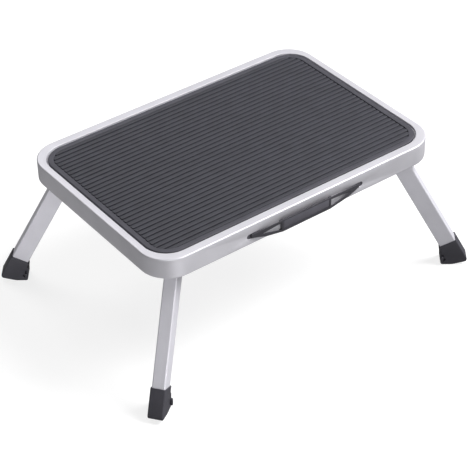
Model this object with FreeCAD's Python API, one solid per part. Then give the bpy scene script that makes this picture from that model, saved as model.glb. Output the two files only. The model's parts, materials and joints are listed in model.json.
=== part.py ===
import FreeCAD, Part
import math
import os

Vector = FreeCAD.Vector

# Folding step stool, in millimetres. The origin is on the floor, under the middle of the tread.
# +X runs along the tread's long side, -Y is the side with the carrying handle, +Z is up.

# Tread tray
STEP_HEIGHT = 204.0
TRAY_LENGTH = 443.6
TRAY_WIDTH = 303.0
TRAY_DEPTH = 29.0
TRAY_CORNER = 40.0
TRAY_TOP_EDGE = 2.0
LIP_RISE = 0.5
RECESS_EDGE = 1.0
SHEET = 1.2
HEM_WIDTH = 5.0

# Tread mat
MAT_LENGTH = 420.0
MAT_WIDTH = 274.0
MAT_CORNER = 32.0
MAT_THICKNESS = 3.5
MAT_GAP = 0.6
MAT_EDGE = 1.0
GROOVES = 32
GROOVE_PITCH = 7.95
GROOVE_WIDTH = 2.0
GROOVE_DEPTH = 1.2
GROOVE_END = 8.0

# Stiffening rails under the tread
RAIL_LENGTH = 236.0
RAIL_WIDTH = 20.0
RAIL_FLANGE = 5.0
RAIL_DEPTH = 8.0
RAIL_SHEET = 1.2
RAIL_Y = 108.0

# Legs: rectangular tube, folding about a pin near its top
PIVOT_X = 176.3
PIVOT_Y = 118.2
PIVOT_Z = 181.0
LEG_AZIMUTH = 37.2
LEG_SPLAY = 28.1
TUBE_DEPTH = 23.0
TUBE_WIDTH = 17.3
TUBE_WALL = 1.2
TUBE_CORNER = 1.6
LEG_ABOVE_PIVOT = 8.0
PLUG_CAP = 1.5
PLUG_STUB = 2.0

# Pivot
PIN_RADIUS = 3.0
PIN_HEAD_RADIUS = 5.5
PIN_HEAD = 1.6
PIN_RUNNING_GAP = 0.05
BUSH_RADIUS = 4.2
WASHER_RADIUS = 8.0
WASHER_THICKNESS = 1.0
SIDE_PLAY = 0.1

# Hinge bracket
EAR_THICKNESS = 2.0
EAR_BELOW_PIVOT = 10.0
EAR_HALF_LENGTH = 13.0
FLANGE_THICKNESS = 2.0
FLANGE_HALF_LENGTH = 15.0
FLANGE_HALF_WIDTH = 25.0
STOP_FROM = 9.0
STOP_TO = 17.0
STOP_THICKNESS = 2.0
RIVET_RADIUS = 2.2
RIVET_HEAD_RADIUS = 4.2
RIVET_HEAD = 1.6
RIVET_X = 9.0
RIVET_Y = 18.5

# Foot
FOOT_SLEEVE = 1.3
FOOT_HEIGHT = 40.3
FOOT_SOLE = 9.0
FOOT_EDGE = 1.2
TOE_START = 4.0

# Foot profile: outward from where the leg's middle line meets the floor, and height
HEEL_NOTCH = (-26.6, 22.6)
HEEL_TOP = (-28.6, 19.0)
HEEL_BOTTOM = (-25.6, 0.0)
SOLE_FLAT_END = (-10.0, 0.0)
TOE = (8.6, 5.0)
POCKET_LOW = (-23.0, 6.5)
POCKET_HIGH = (-24.2, 17.0)
POCKET_WIDTH = 2.6
POCKET_DEPTH = 2.2

# Carrying handle
HANDLE_BELOW_LIP = 16.5
SLOT_X = 84.0
SLOT_LENGTH = 17.0
SLOT_HEIGHT = 7.0
GRIP_MIDDLE = -5.0
GRIP_HALF_LENGTH = 37.5
GRIP_HEIGHT = 17.0
GRIP_OUT = 8.0
GRIP_THICKNESS = 3.5
ARM_END_HEIGHT = 6.0
ARM_BEND = (66.0, -7.0)
ARM_BAR = 4.0
RIB = 2.0
WINDOW_TIP = (72.0, -1.5)
TONGUE_X = 82.5
TONGUE_THICKNESS = 3.5
TONGUE_HEIGHT = 5.0
HANDLE_TRAVEL = 12.0
GUIDE_LENGTH = 22.0
GUIDE_HEIGHT = 13.0
GUIDE_THICKNESS = 2.0
GUIDE_GAP = 0.4
KEEPER_LENGTH = 12.0
KEEPER_HEIGHT = 12.0
KEEPER_THICKNESS = 2.5

# Levels worked out from the sizes above
LIP_Z = STEP_HEIGHT + LIP_RISE
MAT_FLOOR_Z = STEP_HEIGHT - MAT_THICKNESS
PANEL_UNDER_Z = MAT_FLOOR_Z - SHEET
RIM_BOTTOM_Z = LIP_Z - TRAY_DEPTH
WALL_Y = -TRAY_WIDTH / 2
HANDLE_Z = LIP_Z - HANDLE_BELOW_LIP

CORNERS = {
    "front_left": (-1, -1),
    "front_right": (1, -1),
    "rear_left": (-1, 1),
    "rear_right": (1, 1),
}


def save(shape, node):
    """Write one piece, or one group of like pieces, as parts/NODE.step."""
    shape.exportStep(os.path.join("parts", node + ".step"))


def rounded_face(points, radii):
    """A flat face with the given corner points, each corner rounded to its radius."""
    edges = []
    starts = []
    ends = []
    count = len(points)
    for i, point in enumerate(points):
        back = (points[i - 1] - point).normalize()
        ahead = (points[(i + 1) % count] - point).normalize()
        half_turn = back.getAngle(ahead) / 2
        reach = radii[i] / math.tan(half_turn)
        start = point + back * reach
        end = point + ahead * reach
        if radii[i] > 0:
            middle_line = (back + ahead).normalize()
            centre = point + middle_line * (radii[i] / math.sin(half_turn))
            middle = centre - middle_line * radii[i]
            edges.append(Part.Arc(start, middle, end).toShape())
        starts.append(start)
        ends.append(end)
    for i in range(count):
        edges.append(Part.makeLine(ends[i], starts[(i + 1) % count]))
    return Part.Face(Part.Wire(Part.__sortEdges__(edges)))


def side_plate(outline, radii, width):
    """A solid with an outline in the XZ plane, centred on Y."""
    points = [Vector(x, -width / 2, z) for x, z in outline]
    return rounded_face(points, radii).extrude(Vector(0, width, 0))


def rounded_block(length, width, corner, low, high):
    """A block with rounded upright corners, centred on Z."""
    x = length / 2
    y = width / 2
    points = [Vector(-x, -y, low), Vector(x, -y, low), Vector(x, y, low), Vector(-x, y, low)]
    return rounded_face(points, [corner] * 4).extrude(Vector(0, 0, high - low))


def centred_box(length, width, low, high):
    """A plain block centred on Z."""
    return Part.makeBox(length, width, high - low, Vector(-length / 2, -width / 2, low))


def edges_at_level(shape, level):
    """The edges that lie wholly at one height."""
    return [
        edge
        for edge in shape.Edges
        if abs(edge.BoundBox.ZMin - level) < 1e-4 and abs(edge.BoundBox.ZMax - level) < 1e-4
    ]


def reach_from_middle(edge, axis):
    """How far an edge gets from the tread's middle along X or Y."""
    low = getattr(edge.BoundBox, axis + "Min")
    high = getattr(edge.BoundBox, axis + "Max")
    return max(-low, high)


def cross_cylinder(radius, length):
    """A cylinder along Y, centred on the origin."""
    return Part.makeCylinder(radius, length, Vector(0, -length / 2, 0), Vector(0, 1, 0))


def splayed(shape):
    """Turn a piece drawn on an upright leg to the leg's splay."""
    turned = shape.copy()
    turned.rotate(Vector(0, 0, 0), Vector(0, 1, 0), -LEG_SPLAY)
    return turned


def at_corner(shape, corner):
    """Move a piece from the pivot's own frame, +X outward, to one corner of the tray."""
    side_x, side_y = CORNERS[corner]
    azimuth = math.radians(LEG_AZIMUTH)
    angle = math.degrees(math.atan2(side_y * math.sin(azimuth), side_x * math.cos(azimuth)))
    placed = shape.copy()
    placed.rotate(Vector(0, 0, 0), Vector(0, 0, 1), angle)
    placed.translate(Vector(side_x * PIVOT_X, side_y * PIVOT_Y, PIVOT_Z))
    return placed


def rivet_places():
    """The four rivet centres of a hinge bracket, in the pivot's frame."""
    return [(x, y) for x in (-RIVET_X, RIVET_X) for y in (-RIVET_Y, RIVET_Y)]


def make_tray():
    """Pressed sheet tray: flat lip, sunk floor for the mat, deep rim with a hem turned inward."""
    tray = rounded_block(TRAY_LENGTH, TRAY_WIDTH, TRAY_CORNER, RIM_BOTTOM_Z, LIP_Z)
    tray = tray.makeFillet(TRAY_TOP_EDGE, edges_at_level(tray, LIP_Z))

    inner_corner = TRAY_CORNER - SHEET
    inner_length = TRAY_LENGTH - 2 * SHEET
    inner_width = TRAY_WIDTH - 2 * SHEET
    hollow = rounded_block(
        inner_length, inner_width, inner_corner, RIM_BOTTOM_Z + SHEET, LIP_Z - SHEET
    )
    mouth = rounded_block(
        inner_length - 2 * HEM_WIDTH,
        inner_width - 2 * HEM_WIDTH,
        inner_corner - HEM_WIDTH,
        RIM_BOTTOM_Z - SHEET,
        RIM_BOTTOM_Z + 2 * SHEET,
    )
    pan_corner = MAT_CORNER + MAT_GAP + SHEET
    pan = rounded_block(
        MAT_LENGTH + 2 * (MAT_GAP + SHEET),
        MAT_WIDTH + 2 * (MAT_GAP + SHEET),
        pan_corner,
        PANEL_UNDER_Z,
        LIP_Z,
    )
    recess = rounded_block(
        MAT_LENGTH + 2 * MAT_GAP,
        MAT_WIDTH + 2 * MAT_GAP,
        MAT_CORNER + MAT_GAP,
        MAT_FLOOR_Z,
        LIP_Z + SHEET,
    )
    tray = tray.cut(hollow.cut(pan)).cut(mouth).cut(recess)
    recess_rim = [
        edge
        for edge in edges_at_level(tray, LIP_Z)
        if reach_from_middle(edge, "X") < MAT_LENGTH / 2 + 2 * MAT_GAP
        and reach_from_middle(edge, "Y") < MAT_WIDTH / 2 + 2 * MAT_GAP
    ]
    tray = tray.makeFillet(RECESS_EDGE, recess_rim)

    for side in (-1, 1):
        x = SLOT_LENGTH / 2
        z = SLOT_HEIGHT / 2
        slot = side_plate(
            [(-x, -z), (x, -z), (x, z), (-x, z)], [z * 0.98] * 4, 4 * SHEET
        )
        slot.translate(Vector(side * SLOT_X, WALL_Y, HANDLE_Z))
        tray = tray.cut(slot)
    for corner in CORNERS:
        for x, y in rivet_places():
            low = Vector(x, y, PANEL_UNDER_Z - PIVOT_Z - SHEET)
            hole = Part.makeCylinder(RIVET_RADIUS, 4 * SHEET, low)
            tray = tray.cut(at_corner(hole, corner))
    return tray


def make_mat():
    """Moulded anti-slip mat: a smooth border around a field of fine grooves along X."""
    mat = rounded_block(MAT_LENGTH, MAT_WIDTH, MAT_CORNER, MAT_FLOOR_Z, STEP_HEIGHT)
    mat = mat.makeFillet(MAT_EDGE, edges_at_level(mat, STEP_HEIGHT))
    first = -(GROOVES - 1) * GROOVE_PITCH / 2
    field_corner = MAT_CORNER - GROOVE_END
    straight_x = MAT_LENGTH / 2 - MAT_CORNER
    straight_y = MAT_WIDTH / 2 - MAT_CORNER
    grooves = []
    for i in range(GROOVES):
        y = first + i * GROOVE_PITCH
        past = max(0.0, abs(y) - straight_y)
        half = straight_x + math.sqrt(max(field_corner**2 - past**2, 0.0))
        groove = centred_box(2 * half, GROOVE_WIDTH, STEP_HEIGHT - GROOVE_DEPTH, STEP_HEIGHT + 1)
        groove.translate(Vector(0, y, 0))
        grooves.append(groove)
    return mat.cut(Part.makeCompound(grooves))


def make_rail(side):
    """Hat-section rail, flanges up against the tread."""
    half = RAIL_WIDTH / 2
    web = half - RAIL_FLANGE
    outer = [
        (-half, 0),
        (-half, -RAIL_SHEET),
        (-web, -RAIL_SHEET),
        (-web, -RAIL_DEPTH),
        (web, -RAIL_DEPTH),
        (web, -RAIL_SHEET),
        (half, -RAIL_SHEET),
        (half, 0),
        (web - RAIL_SHEET, 0),
        (web - RAIL_SHEET, RAIL_SHEET - RAIL_DEPTH),
        (RAIL_SHEET - web, RAIL_SHEET - RAIL_DEPTH),
        (RAIL_SHEET - web, 0),
    ]
    points = [Vector(-RAIL_LENGTH / 2, y, z) for y, z in outer]
    rail = rounded_face(points, [0] * len(points)).extrude(Vector(RAIL_LENGTH, 0, 0))
    rail.translate(Vector(0, side * RAIL_Y, PANEL_UNDER_Z))
    return rail


def ear_inner_face():
    """Distance from the leg's middle plane to a bracket ear."""
    return TUBE_WIDTH / 2 + SIDE_PLAY + WASHER_THICKNESS


def make_bracket():
    """Two ears hung from a riveted flange, tied by the plate that stops the leg opening further."""
    under = PANEL_UNDER_Z - PIVOT_Z
    inner = ear_inner_face()
    ear_middle = inner + EAR_THICKNESS / 2
    flange = centred_box(
        2 * FLANGE_HALF_LENGTH, 2 * FLANGE_HALF_WIDTH, under - FLANGE_THICKNESS, under
    )
    corners = [e for e in flange.Edges if e.BoundBox.ZLength > FLANGE_THICKNESS / 2]
    bracket = flange.makeFillet(5.0, corners)
    tube_face = TUBE_DEPTH / 2
    stop = Part.makeBox(
        STOP_THICKNESS,
        2 * (inner + EAR_THICKNESS),
        STOP_TO - STOP_FROM,
        Vector(tube_face, -(inner + EAR_THICKNESS), -STOP_TO),
    )
    stop = splayed(stop)
    stop_edge = stop.BoundBox.XMax
    ear_outline = [
        (-EAR_HALF_LENGTH, under - FLANGE_THICKNESS / 2),
        (-EAR_BELOW_PIVOT, -EAR_BELOW_PIVOT),
        (stop_edge, -EAR_BELOW_PIVOT),
        (stop_edge, 2.0),
        (EAR_HALF_LENGTH, under - FLANGE_THICKNESS / 2),
    ]
    for side in (-1, 1):
        ear = side_plate(ear_outline, [0, 7.0, 3.0, 4.0, 0], EAR_THICKNESS)
        ear.translate(Vector(0, side * ear_middle, 0))
        bracket = bracket.fuse(ear)
    bracket = bracket.fuse(stop).removeSplitter()
    bracket = bracket.cut(cross_cylinder(PIN_RADIUS, 60.0))
    for x, y in rivet_places():
        hole = Part.makeCylinder(RIVET_RADIUS, 20.0, Vector(x, y, under - 10.0))
        bracket = bracket.cut(hole)
    return bracket


def make_rivets():
    """Four countersunk rivets: flush under the mat, domed below the flange."""
    top = MAT_FLOOR_Z - PIVOT_Z
    bottom = PANEL_UNDER_Z - PIVOT_Z - FLANGE_THICKNESS
    rivets = []
    for x, y in rivet_places():
        rivet = Part.makeCylinder(RIVET_RADIUS, top - bottom, Vector(x, y, bottom))
        head = Part.makeCone(RIVET_HEAD_RADIUS * 0.6, RIVET_HEAD_RADIUS, RIVET_HEAD)
        head.translate(Vector(x, y, bottom - RIVET_HEAD))
        rivets.append(rivet.fuse(head).removeSplitter())
    return Part.makeCompound(rivets)


def make_pin():
    """Pivot rivet: a shank through both ears and a domed head at each end."""
    reach = ear_inner_face() + EAR_THICKNESS
    pin = cross_cylinder(PIN_RADIUS, 2 * reach)
    for side in (-1, 1):
        head = Part.makeCone(
            PIN_HEAD_RADIUS,
            PIN_HEAD_RADIUS * 0.6,
            PIN_HEAD,
            Vector(0, side * reach, 0),
            Vector(0, side, 0),
        )
        pin = pin.fuse(head)
    return pin.removeSplitter()


def make_washers():
    """A flat nylon washer each side of the tube, on the pin and against the ears."""
    washers = []
    for side in (-1, 1):
        start = side * (ear_inner_face() - (WASHER_THICKNESS if side > 0 else 0))
        disc = Part.makeCylinder(
            WASHER_RADIUS, WASHER_THICKNESS, Vector(0, start, 0), Vector(0, 1, 0)
        )
        washers.append(disc.cut(cross_cylinder(PIN_RADIUS, 60.0)))
    return Part.makeCompound(washers)


def leg_length():
    """From the pivot to the sole, along the splayed leg."""
    return PIVOT_Z / math.cos(math.radians(LEG_SPLAY))


def tube_block(low, high, shrink):
    """The tube's outer shape made smaller all round, from one height to another."""
    return rounded_block(
        TUBE_DEPTH - 2 * shrink, TUBE_WIDTH - 2 * shrink, TUBE_CORNER - shrink, low, high
    )


def tube_end():
    """Height of the tube's lower end below the pivot."""
    return -(leg_length() - FOOT_SOLE - TUBE_DEPTH / 2 * math.tan(math.radians(LEG_SPLAY)))


def make_tube():
    """Rectangular tube with rounded corners, bored across for the pivot bush."""
    top = LEG_ABOVE_PIVOT - PLUG_CAP
    tube = tube_block(tube_end(), top, 0).cut(tube_block(tube_end() - 1, top + 1, TUBE_WALL))
    return splayed(tube.cut(cross_cylinder(BUSH_RADIUS, 2 * TUBE_WIDTH)))


def make_plug():
    """Cap over the tube's upper end, with a short stub inside."""
    top = LEG_ABOVE_PIVOT
    cap = tube_block(top - PLUG_CAP, top, 0)
    cap = cap.makeFillet(1.0, edges_at_level(cap, top))
    stub = tube_block(top - PLUG_CAP - PLUG_STUB, top - PLUG_CAP, TUBE_WALL)
    return splayed(cap.fuse(stub).removeSplitter())


def make_bush():
    """Sleeve across the tube that turns on the pivot pin."""
    bush = cross_cylinder(BUSH_RADIUS, TUBE_WIDTH)
    return bush.cut(cross_cylinder(PIN_RADIUS + PIN_RUNNING_GAP, 2 * TUBE_WIDTH))


def make_foot():
    """Rubber boot on the tube's lower end: level sole, heel that swells inward, raised toe."""
    splay = math.radians(LEG_SPLAY)
    sole_x = PIVOT_Z * math.tan(splay)
    half = TUBE_DEPTH / 2 + FOOT_SLEEVE
    width = TUBE_WIDTH + 2 * FOOT_SLEEVE

    def on_leg(up, out):
        x = sole_x - up * math.sin(splay) + out * math.cos(splay)
        z = -PIVOT_Z + up * math.cos(splay) + out * math.sin(splay)
        return (x, z)

    def from_sole(point, shift=0.0):
        return (sole_x + point[0] + shift, -PIVOT_Z + point[1])

    outline = [
        on_leg(FOOT_HEIGHT, -half),
        from_sole(HEEL_NOTCH),
        from_sole(HEEL_TOP),
        from_sole(HEEL_BOTTOM),
        from_sole(SOLE_FLAT_END),
        from_sole(TOE),
        on_leg(TOE_START, half),
        on_leg(FOOT_HEIGHT, half),
    ]
    foot = side_plate(outline, [0, 1.5, 2.0, 2.5, 25.0, 3.0, 5.0, 0], width)
    top_middle = Vector((outline[0][0] + outline[-1][0]) / 2, 0, (outline[0][1] + outline[-1][1]) / 2)
    rims = []
    for edge in foot.Edges:
        middle = Vector(edge.CenterOfMass.x, 0, edge.CenterOfMass.z)
        if edge.BoundBox.YLength < 1e-4 and (middle - top_middle).Length > 1.0:
            rims.append(edge)
    foot = foot.makeFillet(FOOT_EDGE, rims)

    wide = POCKET_WIDTH / 2
    pocket_outline = [
        from_sole(POCKET_LOW, -wide),
        from_sole(POCKET_LOW, wide),
        from_sole(POCKET_HIGH, wide),
        from_sole(POCKET_HIGH, -wide),
    ]
    pocket = side_plate(pocket_outline, [wide * 0.9] * 4, 2 * POCKET_DEPTH)
    for side in (-1, 1):
        foot = foot.cut(pocket.translated(Vector(0, side * width / 2, 0)))
    return foot.cut(splayed(tube_block(tube_end(), LEG_ABOVE_PIVOT, 0)))


def grip_end(side):
    """Distance from the tray's middle to one end of the grip bar."""
    return GRIP_HALF_LENGTH + side * GRIP_MIDDLE


def arm_plan(side):
    """Plan of one half of the handle, from the grip's outer face round the tongue and back."""
    tongue_out = TONGUE_X + TONGUE_THICKNESS
    tongue_in = SHEET + GUIDE_THICKNESS + HANDLE_TRAVEL + KEEPER_THICKNESS
    outline = [
        (grip_end(side), -GRIP_OUT),
        (tongue_out, -1.4),
        (tongue_out, tongue_in),
        (TONGUE_X, tongue_in),
        (TONGUE_X, 1.0),
        (SLOT_X - SLOT_LENGTH / 2 + 1.0, -0.4),
        (grip_end(side), GRIP_THICKNESS - GRIP_OUT),
    ]
    return [(side * x, y) for x, y in outline]


def arm_front(side):
    """Front view of one half of the handle, from the grip's lower edge to its upper edge."""
    beyond = TONGUE_X + TONGUE_THICKNESS + 5.0
    half = GRIP_HEIGHT / 2
    end = ARM_END_HEIGHT / 2
    outline = [
        (grip_end(side), -half),
        ARM_BEND,
        (TONGUE_X, -end),
        (beyond, -end),
        (beyond, end),
        (TONGUE_X, end),
        (grip_end(side), half),
    ]
    return [(side * x, z) for x, z in outline]


def make_handle():
    """Moulded grip: a flat bar with open triangular arms, and tongues that pass the slots."""
    plan_radii = [6.0, 1.5, 0, 0, 1.0, 2.0, 6.0]
    plan = arm_plan(1) + arm_plan(-1)[::-1]
    points = [Vector(x, y, -GRIP_HEIGHT) for x, y in plan]
    body = rounded_face(points, plan_radii + plan_radii[::-1])
    body = body.extrude(Vector(0, 0, 2 * GRIP_HEIGHT))

    front_radii = [8, 12, 4, 0, 0, 4, 10]
    front = side_plate(arm_front(1) + arm_front(-1)[::-1], front_radii + front_radii[::-1], 80.0)
    handle = body.common(front)

    half = GRIP_HEIGHT / 2
    for side in (-1, 1):
        near = side * (grip_end(side) + RIB)
        tip = (side * WINDOW_TIP[0], WINDOW_TIP[1])
        opening = [(near, ARM_BAR - half), tip, (near, half - ARM_BAR)]
        handle = handle.cut(side_plate(opening, [1.0, 0.5, 1.0], 80.0))

    reach = 2 * (TONGUE_X + TONGUE_THICKNESS + 6.0)
    slim = centred_box(reach, 40.0, -TONGUE_HEIGHT / 2, TONGUE_HEIGHT / 2)
    slim.translate(Vector(0, 20.0, 0))
    outside = centred_box(reach, 40.0, -GRIP_HEIGHT, GRIP_HEIGHT)
    outside.translate(Vector(0, -20.0, 0))
    handle = handle.common(slim.fuse(outside)).removeSplitter()
    handle.translate(Vector(0, WALL_Y, HANDLE_Z))
    return handle


def tongue_plate(side, length, height, thickness, gap, depth):
    """A small plate threaded by a tongue, its outer face at a depth inside the tray's wall."""
    plate = centred_box(length, thickness, -height / 2, height / 2)
    plate = plate.makeFillet(1.0, [e for e in plate.Edges if e.BoundBox.YLength > thickness / 2])
    hole_height = TONGUE_HEIGHT + 2 * gap
    hole = centred_box(TONGUE_THICKNESS + 2 * gap, 3 * thickness, -hole_height / 2, hole_height / 2)
    hole.translate(Vector(side * (TONGUE_X + TONGUE_THICKNESS / 2 - SLOT_X), 0, 0))
    plate = plate.cut(hole)
    plate.translate(Vector(side * SLOT_X, WALL_Y + SHEET + depth + thickness / 2, HANDLE_Z))
    return plate


def make_slot_guide(side):
    """Plate behind a slot in the tray's wall that the tongue slides through."""
    return tongue_plate(side, GUIDE_LENGTH, GUIDE_HEIGHT, GUIDE_THICKNESS, GUIDE_GAP, 0.0)


def make_keeper(side):
    """Cross piece on a tongue's inner end that meets the guide and ends the handle's travel."""
    depth = GUIDE_THICKNESS + HANDLE_TRAVEL
    return tongue_plate(side, KEEPER_LENGTH, KEEPER_HEIGHT, KEEPER_THICKNESS, 0.0, depth)


os.makedirs("parts", exist_ok=True)

save(make_tray(), "tray")
save(make_mat(), "tread_mat")
save(make_rail(-1), "front_stiffener")
save(make_rail(1), "rear_stiffener")

corner_pieces = {
    "hinge_bracket": make_bracket(),
    "bracket_rivets": make_rivets(),
    "pivot_pin": make_pin(),
    "pivot_washers": make_washers(),
    "leg_tube": make_tube(),
    "leg_plug": make_plug(),
    "pivot_bush": make_bush(),
    "foot": make_foot(),
}
for piece_name, piece in corner_pieces.items():
    for corner_name in CORNERS:
        save(at_corner(piece, corner_name), piece_name + "_" + corner_name)

save(make_handle(), "handle_grip")
for side_name, side_sign in {"left": -1, "right": 1}.items():
    save(make_slot_guide(side_sign), "slot_guide_" + side_name)
    save(make_keeper(side_sign), "handle_keeper_" + side_name)
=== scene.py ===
import json
import math

import bmesh
import bpy
from mathutils import Matrix, Vector


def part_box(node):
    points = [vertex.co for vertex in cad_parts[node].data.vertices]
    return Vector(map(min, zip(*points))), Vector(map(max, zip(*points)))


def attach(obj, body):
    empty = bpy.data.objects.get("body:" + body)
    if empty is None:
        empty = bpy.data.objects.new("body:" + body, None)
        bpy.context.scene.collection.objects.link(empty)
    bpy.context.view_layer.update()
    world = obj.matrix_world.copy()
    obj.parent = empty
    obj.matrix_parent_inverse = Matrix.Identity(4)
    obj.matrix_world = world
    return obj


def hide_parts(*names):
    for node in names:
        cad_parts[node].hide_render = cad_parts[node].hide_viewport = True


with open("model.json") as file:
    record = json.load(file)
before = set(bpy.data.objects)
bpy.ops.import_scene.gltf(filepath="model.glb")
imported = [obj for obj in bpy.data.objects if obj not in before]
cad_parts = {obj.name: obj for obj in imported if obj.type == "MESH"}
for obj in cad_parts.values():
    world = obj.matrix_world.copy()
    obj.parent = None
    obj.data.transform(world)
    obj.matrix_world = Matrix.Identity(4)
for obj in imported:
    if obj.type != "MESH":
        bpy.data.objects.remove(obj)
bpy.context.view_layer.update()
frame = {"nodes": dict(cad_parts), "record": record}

# Folding step stool, in metres, in the CAD's own frame: -Y is the handle side, +Z is up.

NODES = frame["nodes"]
CORNERS = ("front_left", "front_right", "rear_left", "rear_right")

# Places and sizes read from the frame
TRAY_LOW, TRAY_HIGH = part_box("tray")
MAT_LOW, MAT_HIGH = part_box("tread_mat")
GRIP_LOW, GRIP_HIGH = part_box("handle_grip")
KEEPER_LOW, KEEPER_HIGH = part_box("handle_keeper_right")
REAR_LEFT_FOOT_LOW, REAR_LEFT_FOOT_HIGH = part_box("foot_rear_left")
WALL_Y = TRAY_LOW.y
HANDLE_Z = (GRIP_LOW.z + GRIP_HIGH.z) / 2

# Tray section
TRAY_CORNER = 0.040
TRAY_TOP_EDGE = 0.002
SHEET = 0.0012
HEM_WIDTH = 0.005
RECESS_GAP = 0.0024
RECESS_EDGE = 0.0005
RIM_FOLD = 0.0016
CORNER_STEPS = 24
SLOT_EDGE = 0.00035
SLOT_LENGTH = 0.017
SLOT_HEIGHT = 0.007

# Mat
MAT_CORNER = 0.032
BORDER_WIDTH = 0.007
BORDER_EDGE = 0.0011
BORDER_INNER_EDGE = 0.0007
FIELD_DEPTH = 0.0023
RIB_COUNT = 31
RIB_PITCH = 0.00795
RIB_WIDTH = 0.0058
RIB_HEIGHT = 0.0021
RIB_EDGE = 0.0006
RIB_CORNER = 0.0016
RIB_SUNK = 0.0004
RIB_END_GAP = 0.0008
STRIP_MIDDLE = 0.1268
STRIP_WIDTH = 0.0046

# Grip: the arms' and windows' tips are (distance from the middle, distance out or up)
GRIP_MIDDLE = -0.005
GRIP_HALF_LENGTH = 0.0375
PAD_HALF_LENGTH = 0.0362
PAD_ABOVE_EDGE = 0.0045
PAD_BELOW_EDGE = 0.0012
PAD_DEPTH = 0.0008
PAD_GAP = 0.0003
PAD_SUNK = 0.0001
PAD_OVERLAP = 0.0002
TOP_SKIN_HEIGHT = 0.006
GRIP_EDGE = 0.0003
ARM_SKIN = 0.0016
ARM_TIP = (0.086, -0.0014)
WINDOW_RIB = 0.0018
WINDOW_HALF_HEIGHT = 0.0054
WINDOW_TIP = (0.0735, -0.0015)

# Feet, as (distance outward from where the leg's own line meets the floor, height)
SOLE_MIDDLE = -0.0184
HEEL_POCKET = [(-0.0195, 0.0085), (-0.0235, 0.0035), (-0.0272, 0.0205)]
POCKET_DEPTH = 0.0032
HEEL_LUG = [
    (-0.0232, 0.0022),
    (-0.0256, 0.0022),
    (-0.0268, 0.0040),
    (-0.0272, 0.0110),
    (-0.0260, 0.0136),
    (-0.0232, 0.0136),
]
LUG_PAST_SIDE = 0.0024
BOOT_EDGE = 0.0004
LUG_EDGE = 0.0010

# Camera: where it stands round the middle of the tread's top, and how long its lens is
CAMERA_AZIMUTH = -36.449
CAMERA_ELEVATION = 37.593
CAMERA_ROLL = -1.1015
CAMERA_DISTANCE = 1.9706
CAMERA_TARGET = Vector((-0.11255, -0.15405, 0.0))
CAMERA_LENS = 125.27

# Soft boxes round the object: name, azimuth, elevation and watts
SOFT_BOXES = (
    ("key", 60, 50, 158.0),
    ("back", 180, 50, 30.0),
    ("fill", -35, 15, 27.0),
    ("front", 0, 12, 10.0),
)
SOFT_BOX_AIM = Vector((0.0, 0.0, 0.1))
SOFT_BOX_DISTANCE = 3.0
SOFT_BOX_SIZE = 1.6

# Upward lights just over the floor, which the camera doesn't see: name, place, size and watts
FLOOR_LIGHTS = (
    ("bounce", Vector((0.0, 0.0, 0.001)), 4.0, 16.0),
    ("patch", Vector((-0.215, -0.40, 0.001)), 0.20, 0.26),
)

# Spot on the rear left leg, aimed at a place measured from the middle of its foot
KICKER_AIM = Vector((0.03, -0.02, 0.07))
KICKER_AZIMUTH = -37
KICKER_ELEVATION = 8
KICKER_DISTANCE = 2.0
KICKER_WATTS = 115.0
KICKER_SPREAD = 8.0
KICKER_BLEND = 0.8
KICKER_RADIUS = 0.15

# Floor and surroundings
FLOOR_SIZE = 12.0
FLOOR_GREY = 0.30
FLOOR_GLOW = 0.78
WORLD_LIGHT = 0.02

# How far a cutting tool reaches past what it cuts
PAST = 0.002

# Angles, in degrees, above which an edge is shaded sharp or bevelled
SHARP = 35.0
MAT_SHARP = 40.0
CAD_SHARP = 30.0
BEVELLED = 40.0
SLOT_BEVELLED = 50.0


# ---------------------------------------------------------------- mesh helpers


def new_object(name, mesh):
    """An object in the scene for a mesh."""
    obj = bpy.data.objects.new(name, mesh)
    bpy.context.scene.collection.objects.link(obj)
    return obj


def from_bmesh(name, bm, smooth_angle=SHARP):
    """An object from a bmesh, with outward faces and smooth shading below an angle."""
    bmesh.ops.recalc_face_normals(bm, faces=bm.faces)
    mesh = bpy.data.meshes.new(name)
    bm.to_mesh(mesh)
    bm.free()
    obj = new_object(name, mesh)
    shade(obj, smooth_angle)
    return obj


def shade(obj, angle):
    """Smooth shading, with sharp edges above an angle in degrees."""
    obj.data.polygons.foreach_set("use_smooth", [True] * len(obj.data.polygons))
    obj.data.set_sharp_from_angle(angle=math.radians(angle))


def apply_modifiers(obj):
    """Replace an object's mesh with its evaluated one and drop the modifiers."""
    depsgraph = bpy.context.evaluated_depsgraph_get()
    made = bpy.data.meshes.new_from_object(obj.evaluated_get(depsgraph))
    obj.modifiers.clear()
    obj.data = made


def bevel(obj, width, segments=2, angle=BEVELLED):
    """A bevel on edges sharper than an angle."""
    modifier = obj.modifiers.new("edge", "BEVEL")
    modifier.width = width
    modifier.segments = segments
    modifier.limit_method = "ANGLE"
    modifier.angle_limit = math.radians(angle)
    modifier.harden_normals = False


def soften(obj, width, segments=2, angle=BEVELLED):
    """Bevel an object's sharp edges for good and shade it again."""
    bevel(obj, width, segments, angle)
    apply_modifiers(obj)
    shade(obj, SHARP)


def cut(obj, tool):
    """Take one object's shape out of another's."""
    modifier = obj.modifiers.new("cut", "BOOLEAN")
    modifier.operation = "DIFFERENCE"
    modifier.solver = "EXACT"
    modifier.object = tool
    apply_modifiers(obj)
    bpy.data.objects.remove(tool)


def rounded_loop(length, width, corner, z):
    """Points round a rounded rectangle centred on Z, with the same count at any size."""
    points = []
    for turn, (side_x, side_y) in enumerate(((1, 1), (-1, 1), (-1, -1), (1, -1))):
        centre = Vector((side_x * (length / 2 - corner), side_y * (width / 2 - corner), z))
        for step in range(CORNER_STEPS + 1):
            angle = math.radians(90 * turn + 90 * step / CORNER_STEPS)
            points.append(centre + Vector((math.cos(angle), math.sin(angle), 0)) * corner)
    return points


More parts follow.
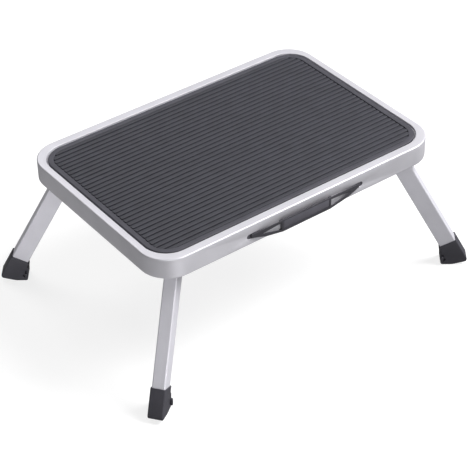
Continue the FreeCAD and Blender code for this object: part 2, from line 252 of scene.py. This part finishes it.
def loft(bm, loops):
    """Quads between loops of points in turn, with a cap on the first and the last."""
    rings = [[bm.verts.new(p) for p in loop] for loop in loops]
    count = len(rings[0])
    for low, high in zip(rings, rings[1:]):
        for i in range(count):
            j = (i + 1) % count
            bm.faces.new((low[i], low[j], high[j], high[i]))
    bm.faces.new(rings[0])
    bm.faces.new(list(reversed(rings[-1])))


def arc(centre_in, centre_z, radius, start, end, steps):
    """Points of a section's rounded edge, as (inset, z), between two angles in degrees.

    Angle 0 points outward and 90 points up.
    """
    points = []
    for step in range(steps + 1):
        angle = math.radians(start + (end - start) * step / steps)
        points.append((centre_in - radius * math.cos(angle), centre_z + radius * math.sin(angle)))
    return points


def lofted(name, loops):
    """A solid through loops of points."""
    bm = bmesh.new()
    loft(bm, loops)
    return from_bmesh(name, bm)


def ring_solid(name, length, width, corner, section):
    """A solid whose section, a list of (inset, z), runs round a rounded rectangle."""
    return lofted(name, [
        rounded_loop(length - 2 * inset, width - 2 * inset, corner - inset, z)
        for inset, z in section
    ])


def extruded(name, outline, low_y, high_y):
    """A solid with an outline in the XZ plane between two Y levels."""
    return lofted(name, [[Vector((x, y, z)) for x, z in outline] for y in (low_y, high_y)])


def raised(name, outline, low_z, high_z):
    """A solid with an outline in the XY plane between two Z levels."""
    return lofted(name, [[Vector((x, y, z)) for x, y in outline] for z in (low_z, high_z)])


def rectangle(left, right, low, high):
    """The four corners of a rectangle, as pairs."""
    return [(left, low), (right, low), (right, high), (left, high)]


def stadium(centre_x, centre_z, length, height, steps=12):
    """The outline of a slot with round ends, as (x, z) points."""
    radius = height / 2
    half = length / 2 - radius
    points = []
    for side in (1, -1):
        for step in range(steps + 1):
            angle = math.radians(-90 * side + 180 * step / steps)
            x = centre_x + side * half + radius * math.cos(angle)
            z = centre_z + radius * math.sin(angle)
            points.append((x, z))
    return points


# ------------------------------------------------------------------- materials


class Shader:
    """A node material under construction, with short calls for what the finishes share."""

    def __init__(self, name):
        self.material = bpy.data.materials.new(name)
        self.material.use_nodes = True
        self.tree = self.material.node_tree
        self.surface = self.tree.nodes["Principled BSDF"]
        self.place = self.tree.nodes.new("ShaderNodeTexCoord").outputs["Object"]

    def noise(self, scale, detail=3.0, stretch=None):
        """A noise texture of so many features to the metre, stretched if asked."""
        node = self.tree.nodes.new("ShaderNodeTexNoise")
        node.inputs["Scale"].default_value = scale
        node.inputs["Detail"].default_value = detail
        where = self.place
        if stretch:
            mapping = self.tree.nodes.new("ShaderNodeMapping")
            mapping.inputs["Scale"].default_value = stretch
            self.tree.links.new(where, mapping.inputs["Vector"])
            where = mapping.outputs["Vector"]
        self.tree.links.new(where, node.inputs["Vector"])
        return node.outputs["Fac"]

    def ramp(self, value, stops):
        """A colour ramp through (position, colour) stops."""
        node = self.tree.nodes.new("ShaderNodeValToRGB")
        elements = node.color_ramp.elements
        while len(elements) < len(stops):
            elements.new(0.5)
        for element, (position, colour) in zip(elements, stops):
            element.position = position
            element.color = (*colour, 1.0)
        self.tree.links.new(value, node.inputs["Fac"])
        return node.outputs["Color"]

    def spread(self, value, low, high):
        """A value from 0.3..0.7 of a noise spread over low..high."""
        node = self.tree.nodes.new("ShaderNodeMapRange")
        node.inputs["From Min"].default_value = 0.3
        node.inputs["From Max"].default_value = 0.7
        node.inputs["To Min"].default_value = low
        node.inputs["To Max"].default_value = high
        self.tree.links.new(value, node.inputs["Value"])
        return node.outputs["Result"]

    def bump(self, value, height, below=None):
        """A bump from a height texture, on top of another bump if given."""
        node = self.tree.nodes.new("ShaderNodeBump")
        node.inputs["Strength"].default_value = 1.0
        node.inputs["Distance"].default_value = height
        self.tree.links.new(value, node.inputs["Height"])
        if below:
            self.tree.links.new(below, node.inputs["Normal"])
        return node.outputs["Normal"]

    def set(self, **sockets):
        """Put a number, a colour or another node's output on the shader's own sockets."""
        for name, value in sockets.items():
            socket = self.surface.inputs[name.replace("_", " ")]
            if isinstance(value, bpy.types.NodeSocket):
                self.tree.links.new(value, socket)
            else:
                socket.default_value = value
        return self


def powder_coat(name, colour):
    """Satin silver powder coat: fine orange peel, faint mottle, a soft metallic sheen."""
    shader = Shader(name)
    mottle = shader.noise(38.0, 4.0)
    grain = shader.noise(1500.0, 2.0)
    peel = shader.noise(420.0, 2.0)
    darker = tuple(c * 0.965 for c in colour)
    lighter = tuple(min(c * 1.02, 1.0) for c in colour)
    shader.set(
        Base_Color=shader.ramp(mottle, [(0.35, darker), (0.65, lighter)]),
        Metallic=0.3,
        Roughness=shader.spread(grain, 0.40, 0.50),
        Normal=shader.bump(grain, 0.00002, shader.bump(peel, 0.00004)),
    )
    return shader.material


def moulded_rubber(name, colour, roughness):
    """Matt moulded rubber: fine pebbled grain and a little dust in the colour."""
    shader = Shader(name)
    cloud = shader.noise(55.0, 5.0)
    pebble = shader.noise(2200.0, 3.0)
    darker = tuple(c * 0.88 for c in colour)
    lighter = tuple(c * 1.12 for c in colour)
    shader.set(
        Base_Color=shader.ramp(cloud, [(0.3, darker), (0.7, lighter)]),
        Roughness=shader.spread(pebble, roughness - 0.05, roughness + 0.07),
        Normal=shader.bump(pebble, 0.00006),
    )
    return shader.material


def moulded_plastic(name, colour, roughness):
    """Satin moulded plastic with a faint spark-eroded texture."""
    shader = Shader(name)
    cloud = shader.noise(70.0, 3.0)
    texture = shader.noise(3000.0, 2.0)
    darker = tuple(c * 0.93 for c in colour)
    lighter = tuple(c * 1.07 for c in colour)
    shader.set(
        Base_Color=shader.ramp(cloud, [(0.35, darker), (0.65, lighter)]),
        Roughness=shader.spread(texture, roughness - 0.04, roughness + 0.05),
        Normal=shader.bump(texture, 0.00002),
    )
    return shader.material


def plated_steel(name, colour, roughness):
    """Zinc-plated sheet or wire: bright metal with rolling marks and cloudy patches."""
    shader = Shader(name)
    cloud = shader.noise(90.0, 4.0)
    rolling = shader.noise(900.0, 2.0, stretch=(0.08, 1.0, 1.0))
    darker = tuple(c * 0.8 for c in colour)
    shader.set(
        Base_Color=shader.ramp(cloud, [(0.35, darker), (0.65, colour)]),
        Metallic=1.0,
        Roughness=shader.spread(rolling, roughness - 0.06, roughness + 0.08),
        Normal=shader.bump(rolling, 0.00001),
    )
    return shader.material


FINISHES = {
    "tray_paint": powder_coat("tray_paint", (0.568, 0.560, 0.600)),
    "leg_paint": powder_coat("leg_paint", (0.690, 0.681, 0.736)),
    "mat_rubber": moulded_rubber("mat_rubber", (0.044, 0.0428, 0.0545), 0.62),
    "foot_plastic": moulded_rubber("foot_plastic", (0.037, 0.0355, 0.046), 0.55),
    "handle_plastic": moulded_plastic("handle_plastic", (0.080, 0.0775, 0.094), 0.42),
    "inner_steel": plated_steel("inner_steel", (0.62, 0.62, 0.64), 0.38),
    "rivet_steel": plated_steel("rivet_steel", (0.66, 0.66, 0.66), 0.28),
    "washer_plastic": moulded_plastic("washer_plastic", (0.72, 0.72, 0.69), 0.45),
}
# The ribs get a darker copy of the mat rubber than the border has.
RIB_DARKER_RUBBER = moulded_rubber("mat_ribs", (0.0262, 0.0262, 0.0348), 0.66)
# A darker copy of the grip plastic for the grip's frame: painted shade along the grip's top and
# lower edges and its arm bars.
FRAME_PAINTED_SHADE = moulded_plastic("grip_frame_painted_shade", (0.036, 0.0345, 0.043), 0.45)


def finish_cad_nodes():
    """Each CAD node that stays in view gets its finish and smooth shading."""
    for part in frame["record"]["subparts"]:
        obj = NODES[part["node"]]
        obj.data.materials.clear()
        obj.data.materials.append(FINISHES[part["material_slot"]])
        shade(obj, CAD_SHARP)


def own(obj, body, slot, *nodes):
    """A finished piece: its body, its finish, and the CAD nodes that it stands for."""
    obj.data.materials.clear()
    obj.data.materials.append(FINISHES[slot])
    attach(obj, body)
    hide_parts(*nodes)
    return obj


# ------------------------------------------------------------------------ tray


def tray_loops():
    """The tray's section as loops, from the sunk floor outward, down the wall and back inside."""
    length = TRAY_HIGH.x - TRAY_LOW.x
    width = TRAY_HIGH.y - TRAY_LOW.y
    lip = TRAY_HIGH.z
    bottom = TRAY_LOW.z
    floor = MAT_LOW.z
    mat_length = MAT_HIGH.x - MAT_LOW.x
    mat_width = MAT_HIGH.y - MAT_LOW.y
    recess = RECESS_GAP
    loops = []

    def on_mat(out, z):
        loops.append(
            rounded_loop(mat_length + 2 * out, mat_width + 2 * out, MAT_CORNER + out, z)
        )

    def on_rim(inset, z):
        loops.append(
            rounded_loop(length - 2 * inset, width - 2 * inset, TRAY_CORNER - inset, z)
        )

    on_mat(recess, floor)
    on_mat(recess, lip - RECESS_EDGE)
    for inset, z in arc(0.0, lip - RECESS_EDGE, RECESS_EDGE, 180, 90, 8)[1:]:
        on_mat(recess + RECESS_EDGE - inset, z)
    edge = TRAY_TOP_EDGE
    for inset, z in arc(edge, lip - edge, edge, 90, 0, 10):
        on_rim(inset, z)
    for inset, z in arc(RIM_FOLD, bottom + RIM_FOLD, RIM_FOLD, 0, -90, 6):
        on_rim(inset, z)
    on_rim(SHEET + HEM_WIDTH, bottom)
    on_rim(SHEET + HEM_WIDTH, bottom + SHEET)
    on_rim(SHEET, bottom + SHEET)
    on_rim(SHEET, lip - SHEET)
    on_mat(recess + SHEET, lip - SHEET)
    on_mat(recess + SHEET, floor - SHEET)
    return loops


def build_tray():
    """The pressed tray, with the two slots that the handle's tongues pass."""
    tray = lofted("tray_shell", tray_loops())
    for side in (-1, 1):
        centre = side * (KEEPER_LOW.x + KEEPER_HIGH.x) / 2
        outline = stadium(centre, HANDLE_Z, SLOT_LENGTH, SLOT_HEIGHT)
        cut(tray, extruded("slot", outline, WALL_Y - PAST, WALL_Y + SHEET + PAST))
    soften(tray, SLOT_EDGE, angle=SLOT_BEVELLED)
    own(tray, "platform", "tray_paint", "tray")


# ------------------------------------------------------------------------- mat


def build_mat():
    """Moulded mat: a raised rounded border round a sunk field of long flat-topped ribs."""
    length = MAT_HIGH.x - MAT_LOW.x
    width = MAT_HIGH.y - MAT_LOW.y
    top = MAT_HIGH.z
    field = top - FIELD_DEPTH
    edge = BORDER_EDGE
    inner = BORDER_INNER_EDGE
    section = [(0.0, MAT_LOW.z)]
    section += arc(edge, top - edge, edge, 0, 90, 6)
    section += arc(BORDER_WIDTH - inner, top - inner, inner, 90, 180, 4)
    section += [(BORDER_WIDTH, field)]
    mat = ring_solid("ribbed_mat", length, width, MAT_CORNER, section)

    ribs = bmesh.new()
    half_x = length / 2 - BORDER_WIDTH - RIB_END_GAP
    half_y = width / 2 - BORDER_WIDTH - RIB_END_GAP
    corner = MAT_CORNER - BORDER_WIDTH - RIB_END_GAP
    first = -RIB_PITCH * (RIB_COUNT - 1) / 2
    rows = [(first + i * RIB_PITCH, RIB_WIDTH) for i in range(RIB_COUNT)]
    rows += [(-STRIP_MIDDLE, STRIP_WIDTH), (STRIP_MIDDLE, STRIP_WIDTH)]
    for middle, rib_width in rows:
        past = max(0.0, abs(middle) - rib_width / 2 - (half_y - corner))
        reach = half_x - corner + math.sqrt(max(corner**2 - past**2, 0.0))
        add_rib(ribs, middle, rib_width, reach, field)
    shade(mat, MAT_SHARP)
    own(mat, "platform", "mat_rubber", "tread_mat")
    field_ribs = from_bmesh("mat_ribs", ribs, MAT_SHARP)
    own(field_ribs, "platform", "mat_rubber", "tread_mat")
    # The ribs take the darker copy of the mat rubber.
    field_ribs.data.materials[0] = RIB_DARKER_RUBBER


def add_rib(bm, middle, width, reach, field):
    """One rib along X: round-cornered in plan, with softened upper edges."""
    shoulder = field + RIB_HEIGHT - RIB_EDGE
    layers = [(0.0, field - RIB_SUNK)] + arc(RIB_EDGE, shoulder, RIB_EDGE, 0, 90, 3)
    loops = []
    for inset, z in layers:
        half_width = width / 2 - inset
        half_length = reach - inset
        corner = RIB_CORNER - inset
        points = []
        for turn, (side_x, side_y) in enumerate(((1, 1), (-1, 1), (-1, -1), (1, -1))):
            x = side_x * (half_length - corner)
            y = middle + side_y * (half_width - corner)
            for step in range(4):
                angle = math.radians(90 * turn + 30 * step)
                points.append(
                    Vector((x + corner * math.cos(angle), y + corner * math.sin(angle), z))
                )
        loops.append(points)
    loft(bm, loops)


# ---------------------------------------------------------------------- handle


def thin_arm(grip, side):
    """Thin one arm from behind, so that it is an even skin along its slanting outer face."""
    near = GRIP_HALF_LENGTH + side * GRIP_MIDDLE + 2 * WINDOW_RIB
    far = WINDOW_TIP[0]
    start = GRIP_LOW.y
    slope = (WALL_Y + ARM_TIP[1] - start) / (ARM_TIP[0] - near)
    back = start + ARM_SKIN
    outline = [
        (side * near, back),
        (side * far, back + slope * (far - near)),
        (side * far, WALL_Y),
        (side * near, WALL_Y),
    ]
    cut(grip, raised("behind_arm", outline, GRIP_LOW.z - PAST, GRIP_HIGH.z + PAST))


def open_window(grip, side):
    """Cut the three-cornered window in one arm."""
    near = side * (GRIP_HALF_LENGTH + side * GRIP_MIDDLE + WINDOW_RIB)
    tip = (side * WINDOW_TIP[0], HANDLE_Z + WINDOW_TIP[1])
    low = (near, HANDLE_Z - WINDOW_HALF_HEIGHT)
    high = (near, HANDLE_Z + WINDOW_HALF_HEIGHT)
    cut(grip, extruded("window", [low, tip, high], GRIP_LOW.y - PAST, WALL_Y))


def build_handle():
    """The carrying grip as CAD has it, with lighter arms, a frame darkened with painted shade, and a
    pad let into its face.
    """
    source = NODES["handle_grip"]
    grip = new_object("carrying_grip", source.data.copy())
    grip.matrix_world = source.matrix_world.copy()
    for side in (-1, 1):
        thin_arm(grip, side)
        open_window(grip, side)

    face = GRIP_LOW.y
    left = GRIP_MIDDLE - PAD_HALF_LENGTH
    right = GRIP_MIDDLE + PAD_HALF_LENGTH
    low = GRIP_LOW.z + PAD_ABOVE_EDGE
    high = GRIP_HIGH.z - PAD_BELOW_EDGE
    behind_top = rectangle(left, right, GRIP_HIGH.z - TOP_SKIN_HEIGHT, GRIP_HIGH.z + PAST)
    cut(grip, extruded("behind_top", behind_top, face + ARM_SKIN + PAD_DEPTH, WALL_Y))
    cut(grip, extruded("pocket", rectangle(left, right, low, high), face - PAST, face + PAD_DEPTH))
    soften(grip, GRIP_EDGE)
    own(grip, "handle", "handle_plastic", "handle_grip")
    # The frame takes the darker plastic, painted shade round the lighter pad.
    grip.data.materials[0] = FRAME_PAINTED_SHADE

    gap = PAD_GAP
    outline = rectangle(left + gap, right - gap, low + gap, high - gap)
    pad = extruded("grip_pad", outline, face + PAD_SUNK, face + PAD_DEPTH + PAD_OVERLAP)
    soften(pad, GRIP_EDGE)
    own(pad, "handle", "handle_plastic", "handle_grip")


# ------------------------------------------------------------------------ feet


def foot_place(corner):
    """One foot's reference point on the floor, its outward direction and its sideways one."""
    record = frame["record"]
    joint = next(j for j in record["behaviour"]["joints"] if j["name"] == "fold_" + corner)
    sole = next(m for m in record["mounts"] if m["name"] == "sole_" + corner)
    sideways = Vector(joint["axis"]).normalized()
    outward = sideways.cross(Vector((0, 0, 1)))
    return Vector(sole["pos_m"]) - outward * SOLE_MIDDLE, outward, sideways


def across_foot(name, place, profile, start, end):
    """A solid with a profile of (outward, height), between two sideways distances."""
    origin, outward, sideways = place
    return lofted(name, [
        [origin + outward * u + sideways * t + Vector((0, 0, z)) for u, z in profile]
        for t in (start, end)
    ])


def build_foot(corner):
    """A boot as CAD has it, with a pocket in each side and a lug across the heel."""
    node = "foot_" + corner
    source = NODES[node]
    place = foot_place(corner)
    boot = new_object("boot_" + corner, source.data.copy())
    boot.matrix_world = source.matrix_world.copy()
    half_width = max((boot.matrix_world @ v.co - place[0]).dot(place[2]) for v in boot.data.vertices)
    for side in (-1, 1):
        inner = side * (half_width - POCKET_DEPTH)
        outer = side * (half_width + PAST)
        cut(boot, across_foot("pocket", place, HEEL_POCKET, inner, outer))
    soften(boot, BOOT_EDGE)
    own(boot, "leg_" + corner, "foot_plastic", node)

    reach = half_width + LUG_PAST_SIDE
    lug = across_foot("heel_lug_" + corner, place, HEEL_LUG, -reach, reach)
    soften(lug, LUG_EDGE, 3)
    own(lug, "leg_" + corner, "foot_plastic", node)


# -------------------------------------------------------------- stage and view


def build_floor():
    """A plain pale floor that softens the shadows on it."""
    bpy.ops.mesh.primitive_grid_add(x_subdivisions=4, y_subdivisions=4, size=FLOOR_SIZE)
    floor = bpy.context.object
    floor.name = "floor"
    material = bpy.data.materials.new("floor")
    material.use_nodes = True
    tree = material.node_tree
    surface = tree.nodes["Principled BSDF"]
    surface.inputs["Base Color"].default_value = (FLOOR_GREY, FLOOR_GREY, FLOOR_GREY, 1.0)
    surface.inputs["Roughness"].default_value = 1.0
    surface.inputs["Specular IOR Level"].default_value = 0.0
    surface.inputs["Emission Color"].default_value = (1.0, 1.0, 1.0, 1.0)
    surface.inputs["Emission Strength"].default_value = FLOOR_GLOW
    floor.data.materials.append(material)
    floor.visible_diffuse = False
    floor.visible_glossy = False


def build_world():
    """Dim surroundings, so that the soft boxes shape the object."""
    world = bpy.data.worlds.new("studio")
    world.use_nodes = True
    background = world.node_tree.nodes["Background"]
    background.inputs["Color"].default_value = (1.0, 1.0, 1.0, 1.0)
    background.inputs["Strength"].default_value = WORLD_LIGHT
    bpy.context.scene.world = world


def area_light(name, place, target, size, power):
    """A square soft box at a place, aimed at a target."""
    data = bpy.data.lights.new(name, "AREA")
    data.shape = "SQUARE"
    data.size = size
    data.energy = power
    lamp = new_object(name, data)
    lamp.location = place
    lamp.rotation_euler = (Vector(target) - Vector(place)).to_track_quat("-Z", "Y").to_euler()
    return lamp


def direction(azimuth, elevation):
    """A unit vector, by the turn from the handle side towards +X and the height in degrees."""
    turn = math.radians(azimuth)
    rise = math.radians(elevation)
    return Vector(
        (math.sin(turn) * math.cos(rise), -math.cos(turn) * math.cos(rise), math.sin(rise))
    )


def build_lights():
    """Four soft boxes, two upward lights at the floor, and a spot on the rear left leg."""
    for name, azimuth, elevation, power in SOFT_BOXES:
        place = SOFT_BOX_AIM + direction(azimuth, elevation) * SOFT_BOX_DISTANCE
        area_light(name, place, SOFT_BOX_AIM, SOFT_BOX_SIZE, power)
    for name, place, size, power in FLOOR_LIGHTS:
        lamp = area_light(name, place, place + Vector((0, 0, 1)), size, power)
        lamp.visible_camera = False

    leg = (REAR_LEFT_FOOT_LOW + REAR_LEFT_FOOT_HIGH) / 2 + KICKER_AIM
    data = bpy.data.lights.new("kicker", "SPOT")
    data.energy = KICKER_WATTS
    data.spot_size = math.radians(KICKER_SPREAD)
    data.spot_blend = KICKER_BLEND
    data.shadow_soft_size = KICKER_RADIUS
    kicker = new_object("kicker", data)
    kicker.location = leg + direction(KICKER_AZIMUTH, KICKER_ELEVATION) * KICKER_DISTANCE
    kicker.rotation_euler = (leg - kicker.location).to_track_quat("-Z", "Y").to_euler()


def build_camera():
    """The camera, by its azimuth, elevation and roll about a point on the tread's plane."""
    roll = math.radians(CAMERA_ROLL)
    back = direction(CAMERA_AZIMUTH, CAMERA_ELEVATION)
    level_right = Vector((0, 0, 1)).cross(back).normalized()
    level_up = back.cross(level_right)
    right = level_right * math.cos(roll) + level_up * math.sin(roll)
    up = level_up * math.cos(roll) - level_right * math.sin(roll)
    data = bpy.data.cameras.new("camera")
    data.lens = CAMERA_LENS
    data.sensor_width = 36.0
    data.clip_end = 100.0
    camera = new_object("camera", data)
    target = CAMERA_TARGET + Vector((0, 0, MAT_HIGH.z))
    turned = Matrix((right, up, back)).transposed().to_4x4()
    camera.matrix_world = Matrix.Translation(target + back * CAMERA_DISTANCE) @ turned
    bpy.context.scene.camera = camera


bpy.context.scene.view_settings.view_transform = "Standard"
build_camera()
build_world()
build_lights()
build_floor()
finish_cad_nodes()
build_tray()
build_mat()
build_handle()
for foot_corner in CORNERS:
    build_foot(foot_corner)
